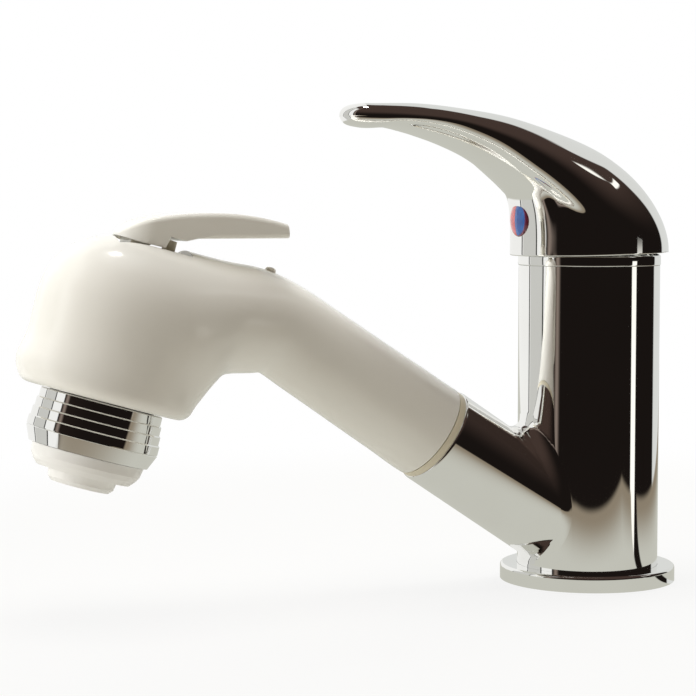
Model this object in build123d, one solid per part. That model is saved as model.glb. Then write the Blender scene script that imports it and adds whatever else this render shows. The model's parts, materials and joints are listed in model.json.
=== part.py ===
from build123d import *
import math
import os

# Pull-out mixer tap, single lever, for a basin or a sink.
# Millimetres. Z is up and the worktop is at Z = 0. The body stands on the origin.
# The spout arm points toward -X, and the tap is symmetric about the XZ plane.

# Body casting
body_radius = 22.5
body_height = 101.0
arm_angle = 33.6
arm_axis_height = 12.35
arm_radius = 15.65
arm_reach = 66.0
arm_bore_radius = 13.0
arm_bore_depth = 32.0
arm_fillet = 4.8
lip_rounding = 0.8
core_radius = 18.6
core_bottom = 18.0
core_cover = 7.0
core_edge_x = 2.0
mixed_pocket_radius = 4.2
mixed_pocket_height = 10.0

# Base of the body
base_ring_width = 5.5
base_ring_height = 5.0
base_ring_rounding = 1.0
gasket_inset = 1.1
gasket_edge = 1.0
gasket_height = 1.5
stud_circle = 32.0
stud_hole_radius = 2.5
stud_hole_depth = 14.0
supply_x = 8.0
supply_y = 9.0
supply_thread_radius = 4.5
supply_thread_depth = 10.0
channel_radius = 2.7
mixed_x = 15.5

# Spray hose
hose_radius = 6.0
hose_bore_radius = 4.0
hose_passage_radius = 8.5
hose_exit_x = -8.0
hose_bend_radius = 27.0
hose_end_height = 0.4
guide_top = 2.6

# Cartridge of the 35 mm class
cavity_radius = 17.6
nut_bore_radius = 19.4
nut_bore_depth = 9.5
cartridge_radius = 17.4
cartridge_base_height = 8.0
cartridge_housing_height = 20.0
housing_wall = 1.7
housing_roof = 2.7
outlet_port_x = 12.6
port_radius = 2.7
seal_height = 1.2
seal_outer_radius = 4.1
seal_inset = 0.4
peg_radius = 1.5
peg_x = -10.0
peg_y = 8.0
peg_length = 2.0
disc_radius = 15.2
fixed_disc_height = 3.4
moving_disc_radius = 12.5
moving_disc_height = 3.6
mixing_chamber_radius = 6.0
mixing_chamber_height = 1.8
slide_carrier_height = 5.5
slide_pocket_half = 3.8
carrier_flange_radius = 15.4
carrier_flange_gap = 0.45
carrier_slot_half = 6.4
carrier_neck_radius = 10.2
pivot_depth = 1.4
pin_radius = 1.5
pin_length = 18.0
stem_half = 4.0
stem_neck_half = 2.5
stem_ball_radius = 3.5
stem_ball_sink = 1.95
stem_rise = 23.4

# Cartridge nut and dome collar
nut_outer_radius = 19.3
nut_sink = 1.6
nut_roof = 1.25
nut_hole_radius = 12.8
key_count = 6
key_width = 4.0
key_depth = 1.8
collar_lip = 0.2
collar_height = 3.3
collar_cone_height = 3.2
collar_cone_top_radius = 12.6
collar_wall = 1.4
collar_spigot_depth = 1.5

# Control handle
skirt_clearance = 0.6
skirt_wall = 2.0
skirt_gap = 0.4
skirt_rim_tilt = 1.5
skirt_roof_rise = 7.9
socket_reach = 8.0
handle_wall = 3.0
tip_radius = 9.0
tip_centre_x = -77.0
handle_rise = 45.9
leaf_floor_depth = 4.0
nose_half = 11.0
nose_stand = 1.3
index_rise = 10.8
index_sink = 0.4
index_radius = 5.4
index_recess_radius = 5.2
index_recess_depth = 3.0
index_dome_height = 1.5
index_plug_front = 0.2
index_split = 0.05
index_seat_gap = 0.15
grub_radius = 2.95
grub_length = 7.5
grub_hole_radius = 3.0
grub_key_radius = 1.5
grub_key_depth = 3.0

# Docked hand spray, measured from the mouth of the arm
sleeve_flange = 2.2
sleeve_flange_radius = 15.2
sleeve_radius = 12.9
sleeve_bore_radius = 11.6
sleeve_length = 26.0
dock_gap = 0.3
grip_end_radius = 15.3
grip_mid_radius = 14.75
grip_mid = 34.0
grip_neck_radius = 14.4
grip_neck = 58.0
shell_wall = 2.2
spigot_radius = 11.3
spigot_bore_radius = 8.4
spigot_length = 20.0
spigot_collar_radius = 12.7
spigot_collar_length = 10.0
shell_lip = 1.6
connector_radius = 8.1
connector_flange_radius = 9.6
connector_bore_radius = 4.0
connector_tail = 2.0
connector_flange_low = -3.6
connector_flange_high = -0.8
washer_height = 1.2
valve_radius = 8.2
valve_length = 12.0
tube_radius = 5.0
tube_bore_radius = 3.6
tube_bend_radius = 30.0

# Spray head, measured in its own frame on the head axis
head_reach = 96.8
head_drop = 46.9
head_lean = 17.57
head_rounding = 4.0
window_front = 10.2
window_back = -12.6
window_half = 9.4
diverter_radius = 12.0
diverter_centre = -2.0
diverter_bottom = 8.2
diverter_top = 40.0
tube_height = 32.0
boss_wall = 2.0
boss_length = 5.0
boss_step = 2.0
inlet_wall = 6.0
plunger_centre = -7.5
plunger_radius = 2.0
plunger_top = 50.4
plunger_bottom = 23.0
plunger_disc_radius = 3.5
plunger_chamber_radius = 4.3
groove_offset = 0.8
groove_height = 1.0
groove_depth = 0.8
seal_stand = 0.4
spring_wire_radius = 0.4
spring_coil_radius = 2.9
spring_turns = 5
spring_bottom = 33.2
spring_top = 39.4

# Ribbed collar and nozzle
carrier_radius = 17.3
opening_radius = 17.6
ring_count = 4
ring_height = 2.8
ring_first_radius = 18.15
ring_step = 0.45
ring_groove = 0.35
bevel_height = 4.6
bevel_bottom_radius = 17.7
collar_inner_radius = 15.6
nozzle_radius = 16.7
nozzle_height = 6.1
nozzle_lower_radius = 15.0
dish_radius = 10.2
dish_height = 3.6
aerator_radius = 7.2
jet_count = 20
jet_circle = 12.6
jet_radius = 0.6
mesh_pitch = 2.2
mesh_hole_radius = 0.75

# Spray lever
lever_pivot_x = 3.0
lever_pivot_z = 43.5
lever_half_width = 9.0
lever_edge_rounding = 1.6
lever_tongue_half = 5.4
lever_eye_radius = 2.8
lever_pin_half = 8.2
lever_pin_radius = 1.2
tongue_top = 51.0
lug_half = 7.9
lug_reach = 3.4
lug_rise = 2.4
lever_clearance = 0.3
stop_x = -40.1
stop_radius = 1.7
stop_rise = 1.3

# Clearances and the lengths by which a cut runs past a face
running_clearance = 0.05
fit_gap = 0.1
seat_gap = 0.15
loose_gap = 0.3
PAST = 1.0
FAR = 200.0

# Radii and heights that follow from the sizes above, from the base to the tip of the handle
base_ring_radius = body_radius + base_ring_width
gasket_inner_radius = body_radius + gasket_inset
gasket_outer_radius = base_ring_radius - gasket_edge
collar_radius = body_radius + collar_lip
skirt_inner_radius = collar_radius + skirt_clearance
skirt_radius = skirt_inner_radius + skirt_wall
nose_x = -skirt_radius - nose_stand
index_face_x = nose_x + index_sink
nut_top_height = body_height - nut_sink
housing_top = nut_top_height - nut_roof - seat_gap
base_top = housing_top - cartridge_housing_height
seat_height = base_top - cartridge_base_height
core_top = seat_height - core_cover
pivot_height = housing_top - pivot_depth
stem_top = pivot_height + stem_rise
collar_top = body_height + collar_height
skirt_rim_height = collar_top + skirt_gap
skirt_roof_height = skirt_rim_height + skirt_roof_rise
index_height = skirt_rim_height + index_rise
handle_tip_height = skirt_rim_height + handle_rise
leaf_floor = skirt_rim_height - leaf_floor_depth

LOW = (Align.CENTER, Align.CENTER, Align.MIN)

arm_slope = math.radians(arm_angle)
arm_dir = (-math.cos(arm_slope), 0, math.sin(arm_slope))
arm_up = (math.sin(arm_slope), 0, math.cos(arm_slope))


def disc(radius, low, high):
    """Round bar along Z from one height to another."""
    return Pos(0, 0, low) * Cylinder(radius, high - low, align=LOW)


def tube(outer, inner, low, high):
    """Round tube along Z from one height to another."""
    return disc(outer, low, high) - disc(inner, low - 1, high + 1)


def block(x0, x1, y0, y1, z0, z1):
    centre = Pos((x0 + x1) / 2, (y0 + y1) / 2, (z0 + z1) / 2)
    return centre * Box(x1 - x0, y1 - y0, z1 - z0)


def turned(points):
    """Ring turned about Z from a closed outline of (radius, height) points."""
    outline = make_face(Polyline(*[(r, 0, z) for r, z in points], close=True))
    return revolve(outline, Axis.Z, 360)


def prism_y(outline, half):
    """Solid between Y = -half and Y = half from a closed wire in the XZ plane."""
    face = make_face(outline)
    return extrude(face, amount=half, dir=(0, 1, 0), both=True)


# The arm frame has its Z along the arm and starts on the body axis
arm_frame = Plane(origin=(0, 0, arm_axis_height), x_dir=arm_up, z_dir=arm_dir).location

# The dock frame starts at the mouth of the arm: X is the upper side, Z runs outward
dock = arm_frame * Pos(0, 0, arm_reach)

# The head frame stands on the spray axis: X points away from the body, Z is up the axis
lean = math.radians(head_lean)
head_plane = Plane(
    origin=(-head_drop, 0, head_reach),
    x_dir=(-math.sin(lean), 0, math.cos(lean)),
    z_dir=(math.cos(lean), 0, math.sin(lean)),
)
head = dock * head_plane.location


def head_point(x, z):
    """Point of the dock frame, as (across, along), for a place in the head frame."""
    across = -head_drop - x * math.sin(lean) + z * math.cos(lean)
    along = head_reach + x * math.cos(lean) + z * math.sin(lean)
    return across, along


def ellipse_face(section, inset):
    """Elliptical face between an upper and a lower point of the XZ plane."""
    top, bottom, half_width = section
    middle = Vector((top[0] + bottom[0]) / 2, 0, (top[1] + bottom[1]) / 2)
    across = Vector(top[0] - bottom[0], 0, top[1] - bottom[1])
    half_height = across.length / 2
    x_dir = across.normalized()
    z_dir = x_dir.cross(Vector(0, 1, 0))
    place = Plane(origin=middle, x_dir=x_dir, z_dir=z_dir)
    return place * Ellipse(half_height - inset, half_width - inset)


def smooth_value(stations, values, place):
    """Cubic through the values, with each slope taken from the two neighbours."""
    last = len(stations) - 1
    k = 0
    while k < last - 1 and stations[k + 1] < place:
        k += 1

    def slope(i):
        before = max(i - 1, 0)
        after = min(i + 1, last)
        return (values[after] - values[before]) / (stations[after] - stations[before])

    width = stations[k + 1] - stations[k]
    t = (place - stations[k]) / width
    start = (2 * t**3 - 3 * t**2 + 1) * values[k] + (t**3 - 2 * t**2 + t) * width * slope(k)
    end = (3 * t**2 - 2 * t**3) * values[k + 1] + (t**3 - t**2) * width * slope(k + 1)
    return start + end


def even_sections(sections, count):
    """The same form with its sections at even distances, so that the loft runs smooth."""
    rows = [(*top, *bottom, half_width) for top, bottom, half_width in sections]
    stations = [0.0]
    for a, b in zip(rows, rows[1:]):
        upper_step = math.hypot(b[0] - a[0], b[1] - a[1])
        lower_step = math.hypot(b[2] - a[2], b[3] - a[3])
        stations.append(stations[-1] + 0.7 * upper_step + 0.3 * lower_step)
    even = []
    for k in range(count):
        place = stations[-1] * k / (count - 1)
        row = [smooth_value(stations, [r[i] for r in rows], place) for i in range(5)]
        even.append(((row[0], row[1]), (row[2], row[3]), row[4]))
    return even


parts = {}


def add(name, shape):
    parts[name] = shape


# Body casting with its arm, bores and channels
bend_turn = math.radians(90.0 - arm_angle)
corner_reach = -hose_exit_x / math.cos(arm_slope)
corner_height = arm_axis_height + corner_reach * math.sin(arm_slope)


def hose_path(start_reach, end_height):
    """Line down the arm, one bend and a line down through the base."""
    start = Vector(0, 0, arm_axis_height) + Vector(*arm_dir) * start_reach
    corner = Vector(hose_exit_x, 0, corner_height)
    end = Vector(hose_exit_x, 0, end_height)
    return FilletPolyline(start, corner, end, radius=hose_bend_radius)


def hose_sweep(radius, start_reach, end_height):
    start = Vector(0, 0, arm_axis_height) + Vector(*arm_dir) * start_reach
    section = Plane(origin=start, x_dir=(0, 1, 0), z_dir=(-arm_dir[0], 0, -arm_dir[2]))
    return sweep(section * Circle(radius), path=hose_path(start_reach, end_height))


def make_body():
    barrel = disc(body_radius, 0, body_height)
    arm = arm_frame * Cylinder(arm_radius, arm_reach, align=LOW)
    joined = barrel + arm
    joined = joined & block(-FAR, FAR, -FAR, FAR, 0, FAR)
    crotch = [edge for edge in joined.edges() if is_junction(edge)]
    joined = fillet(crotch, arm_fillet)
    mouth = joined.edges().filter_by(GeomType.CIRCLE)
    mouth = [e for e in mouth if abs(e.radius - arm_radius) < 0.01]
    joined = fillet(mouth, lip_rounding)

    bore_start = arm_reach - arm_bore_depth
    bore = arm_frame * Pos(0, 0, bore_start) * Cylinder(arm_bore_radius, arm_bore_depth + 1, align=LOW)
    joined -= bore
    joined -= hose_sweep(hose_passage_radius, bore_start + 1, -1)

    core = disc(core_radius, core_bottom, core_top)
    joined -= core & block(-FAR, core_edge_x, -FAR, FAR, 0, FAR)

    joined -= disc(cavity_radius, seat_height, body_height + 1)
    joined -= disc(nut_bore_radius, body_height - nut_bore_depth, body_height + 1)
    for side in (-1, 1):
        supply = Pos(supply_x, side * supply_y, 0)
        joined -= supply * disc(channel_radius, 0, seat_height + 1)
        joined -= supply * disc(supply_thread_radius, -1, supply_thread_depth)
        joined -= Pos(0, side * stud_circle / 2, 0) * disc(stud_hole_radius, -1, stud_hole_depth)
        peg_hole = disc(peg_radius + fit_gap, seat_height - peg_length - loose_gap, seat_height + PAST)
        joined -= Pos(peg_x, side * peg_y, 0) * peg_hole
    joined -= Pos(mixed_x, 0, 0) * disc(supply_thread_radius, -1, supply_thread_depth)
    joined -= Pos(mixed_x, 0, 0) * disc(channel_radius, 0, seat_height - mixed_pocket_height + 1)
    pocket_x = (mixed_x + outlet_port_x) / 2
    pocket_low = seat_height - mixed_pocket_height
    joined -= Pos(pocket_x, 0, 0) * disc(mixed_pocket_radius, pocket_low, seat_height + PAST)
    return joined


def is_junction(edge):
    """True for the edge where the arm meets the barrel."""
    middle = edge.position_at(0.5)
    on_barrel = abs(math.hypot(middle.X, middle.Y) - body_radius) < 0.01
    return on_barrel and 0.5 < middle.Z < body_height - 1 and edge.geom_type != GeomType.LINE


add("tap_body", make_body())

# Base ring with its gasket
base_ring = tube(base_ring_radius, body_radius + running_clearance, 0, base_ring_height)
top_edge = [
    e
    for e in base_ring.edges().filter_by(GeomType.CIRCLE)
    if e.center().Z > base_ring_height - 0.01 and e.radius > body_radius + 1
]
base_ring = fillet(top_edge, base_ring_rounding)
base_ring -= tube(gasket_outer_radius + 0.1, gasket_inner_radius - 0.1, -1, gasket_height)
add("base_ring", base_ring)
add("base_gasket", tube(gasket_outer_radius, gasket_inner_radius, 0, gasket_height))

# Hose with its guide bush in the base and the connector that the hand spray turns on
connector_end = -spigot_length - connector_tail
hose_start = arm_reach + connector_end
hose = hose_sweep(hose_radius, hose_start, hose_end_height)
hose -= hose_sweep(hose_bore_radius, hose_start + 1, hose_end_height - 1)
add("spray_hose", hose)
guide = tube(hose_passage_radius - running_clearance, hose_radius + 0.1, hose_end_height, guide_top)
add("hose_guide", Pos(hose_exit_x, 0, 0) * guide)

connector = disc(connector_radius, connector_end, connector_flange_low)
connector += disc(connector_flange_radius, connector_flange_low, connector_flange_high)
connector -= disc(connector_bore_radius, connector_end - 1, connector_flange_high + 1)
add("hose_connector", dock * connector)
washer = tube(connector_flange_radius - 1.0, connector_bore_radius + 0.5, 0, washer_height)
add("hose_washer", dock * Pos(0, 0, connector_flange_high) * washer)

# Docking sleeve in the mouth of the arm
sleeve = disc(sleeve_radius, -sleeve_length, 0) + disc(sleeve_flange_radius, 0, sleeve_flange)
sleeve -= disc(sleeve_bore_radius, -sleeve_length - 1, sleeve_flange + 1)
add("docking_sleeve", dock * sleeve)

# Cartridge base, seals, discs and housing
ports = [(supply_x, supply_y), (supply_x, -supply_y), (outlet_port_x, 0)]
cartridge_base = disc(cartridge_radius - 0.1, seat_height, base_top)
for side in (-1, 1):
    cartridge_base += Pos(peg_x, side * peg_y, 0) * disc(peg_radius, seat_height - peg_length, seat_height)
seals = []
for x, y in ports:
    cartridge_base -= Pos(x, y, 0) * disc(port_radius, seat_height - 1, base_top + 1)
    cartridge_base -= Pos(x, y, 0) * disc(seal_outer_radius + 0.1, seat_height - 1, seat_height + seal_height)
    seal_ring = tube(seal_outer_radius, port_radius + seal_inset, seat_height, seat_height + seal_height)
    seals.append(Pos(x, y, 0) * seal_ring)
add("cartridge_base", cartridge_base)
add("cartridge_seals", Compound(seals))

fixed_disc_top = base_top + fixed_disc_height
fixed_disc = disc(disc_radius, base_top, fixed_disc_top)
for x, y in ports:
    fixed_disc -= Pos(x, y, 0) * disc(port_radius - 0.2, base_top - 1, fixed_disc_top + 1)
add("fixed_disc", fixed_disc)

housing_inner_top = housing_top - housing_roof
housing = disc(cartridge_radius, base_top, housing_top)
housing -= disc(cartridge_radius - housing_wall, base_top - 1, housing_inner_top)
housing -= disc(carrier_neck_radius + 0.3, housing_inner_top - 1, housing_top + 1)
add("cartridge_housing", housing)

moving_disc_low = fixed_disc_top + running_clearance
moving_disc_top = moving_disc_low + moving_disc_height
moving_disc = disc(moving_disc_radius, moving_disc_low, moving_disc_top)
chamber = disc(mixing_chamber_radius, moving_disc_low - PAST, moving_disc_low + mixing_chamber_height)
add("moving_disc", moving_disc - Pos(supply_x / 2, 0, 0) * chamber)

slide_top = moving_disc_top + slide_carrier_height
slide_carrier = disc(moving_disc_radius, moving_disc_top, slide_top)
ball_height = slide_top - stem_ball_sink
slide_carrier -= block(
    -slide_pocket_half, slide_pocket_half, -slide_pocket_half, slide_pocket_half,
    ball_height - stem_ball_radius - fit_gap, slide_top + PAST,
)
add("disc_carrier", slide_carrier)

# Turning stem carrier, which holds the stem pin
flange_top = housing_inner_top - loose_gap
flange_low = slide_top + carrier_flange_gap
neck_top = body_height
carrier = disc(carrier_flange_radius, flange_low, flange_top)
carrier += disc(carrier_neck_radius, flange_top, neck_top)
slot_side = stem_half + loose_gap
carrier -= block(
    -carrier_slot_half, carrier_slot_half, -slot_side, slot_side,
    flange_low - PAST, neck_top + PAST,
)
pin_at_pivot = Pos(0, 0, pivot_height) * Rot(90, 0, 0)
carrier -= pin_at_pivot * Cylinder(pin_radius + running_clearance, carrier_neck_radius * 2)
add("stem_carrier", carrier)

# Stem with its pin: square above the pin, narrow below it, with a ball at the foot
shoulder = pivot_height - 3.6
stem = block(-stem_half, stem_half, -stem_half, stem_half, shoulder, stem_top)
stem += block(-stem_neck_half, stem_neck_half, -stem_neck_half, stem_neck_half, ball_height, shoulder)
stem += Pos(0, 0, ball_height) * Sphere(stem_ball_radius)
stem -= pin_at_pivot * Cylinder(pin_radius, carrier_neck_radius * 2)
add("handle_stem", stem)
add("stem_pin", pin_at_pivot * Cylinder(pin_radius, pin_length))

# Brass nut that clamps the cartridge
nut_low = body_height - nut_bore_depth + 0.3
nut = disc(nut_outer_radius, nut_low, nut_top_height)
nut -= disc(cavity_radius + 0.1, nut_low - 1, nut_top_height - nut_roof)
nut -= disc(nut_hole_radius, nut_low, nut_top_height + 1)
for k in range(key_count):
    key = block(
        nut_hole_radius - PAST, nut_hole_radius + key_depth,
        -key_width / 2, key_width / 2,
        nut_top_height - nut_roof - PAST, nut_top_height + PAST,
    )
    nut -= Rot(0, 0, k * 360 / key_count) * key
add("cartridge_nut", nut)

# Dome collar that closes the top of the body
collar_low = body_height
cone_top = collar_top + collar_cone_height
collar = turned([
    (nut_bore_radius - 0.15, collar_low - collar_spigot_depth),
    (nut_bore_radius - 0.15, collar_low),
    (collar_radius, collar_low),
    (collar_radius, collar_top - 0.4),
    (collar_radius - 0.4, collar_top),
    (collar_cone_top_radius, cone_top),
    (collar_cone_top_radius - collar_wall, cone_top),
    (collar_cone_top_radius - collar_wall, cone_top - collar_wall),
    (cavity_radius, collar_top - 0.8),
    (cavity_radius, collar_low - collar_spigot_depth),
])
add("dome_collar", collar)

# Handle: an arched leaf that grows out of a round skirt
side_sine = (skirt_radius - tip_radius) / -tip_centre_x
side_cosine = math.sqrt(1 - side_sine**2)
tangent_x = -skirt_radius * side_sine
tip_tangent_x = tip_centre_x - tip_radius * side_sine


def plan_half(x):
    """Half width of the leaf, seen from above."""
    if x > tangent_x:
        return math.sqrt(max(skirt_radius**2 - x * x, 0))
    if x < tip_tangent_x:
        return math.sqrt(max(tip_radius**2 - (x - tip_centre_x) ** 2, 0))
    share = (x - tangent_x) / (tip_tangent_x - tangent_x)
    return side_cosine * (skirt_radius + share * (tip_radius - skirt_radius))


def below_tip(share):
    """Height at a share of the way down from the tip to the floor of the leaf."""
    return handle_tip_height - share * (handle_tip_height - leaf_floor)


def leaf_line(*points):
    """Smooth line in the XZ plane through points given as X and the share of the way down."""
    return Spline(*[(x, 0, below_tip(share)) for x, share in points])


# Crest line of the leaf and the line where its side wall starts, from tip to back
crest_line = leaf_line(
    (-86.5, 0.0681),
    (-84.0, 0.0240),
    (-77.0, -0.0080),
    (-61.0, -0.0120),
    (-46.5, 0.0140),
    (-32.6, 0.0541),
    (-19.5, 0.1222),
    (-6.0, 0.2124),
    (3.0, 0.3006),
    (11.5, 0.4248),
    (skirt_radius - 6.8, 0.5852),
    (skirt_radius - 2.1, 0.7615),
    (skirt_radius, 0.8818),
)
shoulder_line = leaf_line(
    (-86.5, 0.0922),
    (-77.0, 0.0721),
    (-61.0, 0.0842),
    (-46.5, 0.1483),
    (-32.6, 0.2806),
    (-19.5, 0.4609),
    (-6.0, 0.6814),
    (8.0, 0.8417),
    (skirt_radius, 0.9058),
)


def height_on(line, x):
    """Height of a crest or shoulder line at one place along X."""
    low = 0.0
    high = 1.0
    for _ in range(40):
        middle = (low + high) / 2
        if line.position_at(middle).X < x:
            low = middle
        else:
            high = middle
    return line.position_at((low + high) / 2).Z


def arch_section(x, floor):
    """Cross section of the leaf in a plane of constant X: half an ellipse on two straight sides."""
    half = plan_half(x)
    shoulder_z = height_on(shoulder_line, x)
    rise = height_on(crest_line, x) - shoulder_z
    plane = Plane(origin=(x, 0, shoulder_z), x_dir=(0, 1, 0), z_dir=(1, 0, 0))
    arch = plane * EllipticalCenterArc((0, 0), half, rise, start_angle=0, arc_size=180)
    right = Line((x, half, floor), (x, half, shoulder_z))
    left = Line((x, -half, shoulder_z), (x, -half, floor))
    bottom = Line((x, -half, floor), (x, half, floor))
    return Face(Wire([right, arch, left, bottom]))


# The sections stand closer together toward both ends, where the plan closes in an arc
leaf_middle_x = (skirt_radius + tip_centre_x - tip_radius) / 2
leaf_half_length = skirt_radius - leaf_middle_x
section_places = []
section_count = 20
first_angle = 5.0
for k in range(section_count):
    angle = first_angle + (180 - 2 * first_angle) * k / (section_count - 1)
    section_places.append(leaf_middle_x - leaf_half_length * math.cos(math.radians(angle)))
leaf_block = loft([arch_section(x, leaf_floor) for x in section_places])

# Underside of the leaf, and the lower line of the neck that carries it
leaf_under = leaf_line(
    (-90.0, 0.1082),
    (-79.7, 0.1042),
    (-67.7, 0.0922),
    (-56.5, 0.1082),
    (-45.1, 0.1683),
    (-37.6, 0.2325),
    (-29.9, 0.3226),
    (-22.1, 0.4369),
    (-15.5, 0.5491),
    (-10.3, 0.6573),
    (-5.0, 0.8016),
)
under_start = leaf_under.position_at(0)
under_end = leaf_under.position_at(1)
under_cut = prism_y(
    Wire([
        leaf_under,
        Line(under_end, (under_end.X, 0, leaf_floor - 1)),
        Line((under_end.X, 0, leaf_floor - 1), (under_start.X, 0, leaf_floor - 1)),
        Line((under_start.X, 0, leaf_floor - 1), under_start),
    ]),
    40,
)


def neck_section(upper, lower, half_width):
    """Section of the neck from its upper and lower points, each an X and a share of the way down."""
    upper_x, upper_share = upper
    lower_x, lower_share = lower
    return (upper_x, below_tip(upper_share)), (lower_x, below_tip(lower_share)), half_width


# The neck is a horn of elliptical sections that rises out of the front of the skirt
neck_sections = [
    neck_section((-84.6, 0.0521), (-84.6, 0.1242), 4.0),
    neck_section((-76.0, 0.0321), (-76.0, 0.1343), 6.4),
    neck_section((-66.0, 0.0361), (-68.0, 0.1403), 7.0),
    neck_section((-53.0, 0.0521), (-58.5, 0.1904), 7.6),
    neck_section((-41.0, 0.1002), (-49.9, 0.2605), 8.2),
    neck_section((-29.0, 0.1703), (nose_x - 14.7, 0.3647), 8.8),
    neck_section((-18.0, 0.2806), (nose_x - 7.7, 0.4910), 9.6),
    neck_section((-9.0, 0.4409), (nose_x - 2.6, 0.6413), 10.4),
    neck_section((-3.0, 0.6814), (nose_x - 0.6, 0.8016), nose_half),
    neck_section((0.0, 1.0), (nose_x, 1.0), nose_half + 0.6),
]
horn = loft([ellipse_face(s, 0) for s in even_sections(neck_sections, 14)])

leaf = leaf_block - under_cut
skirt = leaf_block & disc(skirt_radius, leaf_floor, leaf_floor + 60)
handle = leaf + skirt + horn
rim_cut = Pos(0, 0, skirt_rim_height) * Rot(0, -skirt_rim_tilt, 0) * block(-FAR, FAR, -60, 60, -40, 0)
handle -= rim_cut
hollow = disc(skirt_inner_radius, leaf_floor - 2, skirt_roof_height)
hollow = hollow & (Pos(-1.2, 0, -handle_wall) * leaf_block)
handle -= hollow
socket_side = stem_half + running_clearance
handle -= block(
    -socket_side, socket_side, -socket_side, socket_side,
    skirt_roof_height - socket_reach, stem_top + loose_gap,
)
index_axis = Pos(index_face_x, 0, index_height) * Rot(0, 90, 0)
stem_face_depth = -index_face_x - stem_half
handle -= index_axis * disc(index_radius + index_seat_gap, -6, 0)
handle -= index_axis * disc(index_recess_radius, -6, index_recess_depth)
handle -= index_axis * disc(grub_hole_radius, 0, stem_face_depth)
add("handle", handle)

grub_end = stem_face_depth - running_clearance
grub = disc(grub_radius, grub_end - grub_length, grub_end)
grub -= extrude(Pos(0, 0, grub_end - grub_length) * RegularPolygon(grub_key_radius, 6), grub_key_depth)
add("handle_grub_screw", index_axis * grub)

# Index button: a plug with a dome in two halves
add("index_plug", index_axis * disc(index_recess_radius - fit_gap, index_plug_front, index_recess_depth))
dome_radius = (index_radius**2 + index_dome_height**2) / (2 * index_dome_height)
ball = Pos(0, 0, dome_radius - index_dome_height) * Sphere(dome_radius)
dome = index_axis * (ball & disc(index_radius, -index_dome_height - PAST, 0))
dome_base = index_axis * disc(index_recess_radius - fit_gap, 0, index_plug_front)
button = dome + dome_base
add("index_cold", button & block(-FAR, 0, -FAR, -index_split, 0, FAR))
add("index_hot", button & block(-FAR, 0, index_split, FAR, 0, FAR))

# Hand spray: the outer form is one loft through ellipses from the dock to the head


def grip_section(along, radius):
    return (radius, along), (-radius, along), radius


def head_section(top, bottom, half_width):
    return head_point(*top), head_point(*bottom), half_width


shell_start = sleeve_flange + dock_gap
spray_sections = [
    grip_section(shell_start, grip_end_radius),
    grip_section(grip_mid, grip_mid_radius),
    grip_section(grip_neck, grip_neck_radius),
    head_section((-42.0, 50.0), (-44.5, 19.4), 15.3),
    head_section((-29.0, 49.4), (-35.0, 17.1), 17.6),
    head_section((-16.0, 48.9), (-31.0, 13.7), 20.6),
    head_section((-2.0, 48.5), (-29.2, 10.3), 23.2),
    head_section((11.0, 46.9), (-28.0, 7.4), 24.6),
    head_section((22.0, 40.2), (-27.0, 5.0), 25.2),
    head_section((26.5, 27.0), (-26.3, 3.0), 25.2),
    head_section((26.3, 11.0), (-25.4, 1.3), 24.9),
    head_section((24.2, 0.0), (-24.6, 0.0), 24.3),
]


loft_sections = even_sections(spray_sections, 16)


def spray_form(inset):
    """The whole outer form of the hand spray, or one set inside it by a wall."""
    return loft([ellipse_face(s, inset) for s in loft_sections])


head_in_dock = head_plane.location

outer_form = spray_form(0)


def on_rim(edge):
    """True for the lower rim of the head, which lies in the plane Z = 0 of the head frame."""
    spots = [head_in_dock.inverse() * Pos(*edge.position_at(t)) for t in (0.2, 0.7)]
    return all(abs(spot.position.Z) < 0.01 for spot in spots)


outer_form = fillet([e for e in outer_form.edges() if on_rim(e)], head_rounding)
hollow_form = spray_form(shell_wall)
hollow_form -= disc(60, -50, shell_start + shell_lip)
hollow_form -= head_in_dock * block(-50, 50, -50, 50, -30, shell_wall)
shell = outer_form - hollow_form
shell -= disc(spigot_radius + 0.15, -5, shell_start + shell_lip + 1)
shell -= head_in_dock * disc(opening_radius, -5, shell_wall + 1)
window = head_in_dock * block(window_back, window_front, -window_half, window_half, 36.0, 56.0)
shell -= window
stop_seat = head_in_dock * (Pos(stop_x, 0, 0) * disc(stop_radius + 0.05, 44.0, 56.0))
shell -= stop_seat
add("handset_shell", dock * shell)

stop = Pos(stop_x, 0, 0) * disc(stop_radius, 47.2, 49.9 + stop_rise)
stop_top = stop.edges().filter_by(GeomType.CIRCLE).sort_by(Axis.Z)[-1]
stop = fillet([stop_top], stop_rise * 0.8)
add("lever_stop", head * stop)

# Spigot, check valve and water tube inside the grip
collar_start = shell_start + shell_lip
collar_end = collar_start + spigot_collar_length
spigot = disc(spigot_radius, -spigot_length, collar_start)
spigot += disc(spigot_collar_radius, collar_start, collar_end)
spigot -= disc(spigot_bore_radius, -spigot_length - 1, connector_flange_low)
washer_top = connector_flange_high + washer_height
spigot -= disc(connector_flange_radius + loose_gap, connector_flange_low - loose_gap, washer_top + loose_gap)
spigot -= disc(valve_radius + fit_gap, 0, collar_end + PAST)
add("dock_spigot", dock * spigot)
valve_low = washer_top + 2 * loose_gap
valve = disc(valve_radius, valve_low, valve_low + valve_length)
valve -= disc(tube_bore_radius, valve_low - 1, valve_low + valve_length + 1)
valve -= disc(tube_radius + 0.1, valve_low + valve_length - 4, valve_low + valve_length + 1)
add("check_valve", dock * valve)

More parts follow.
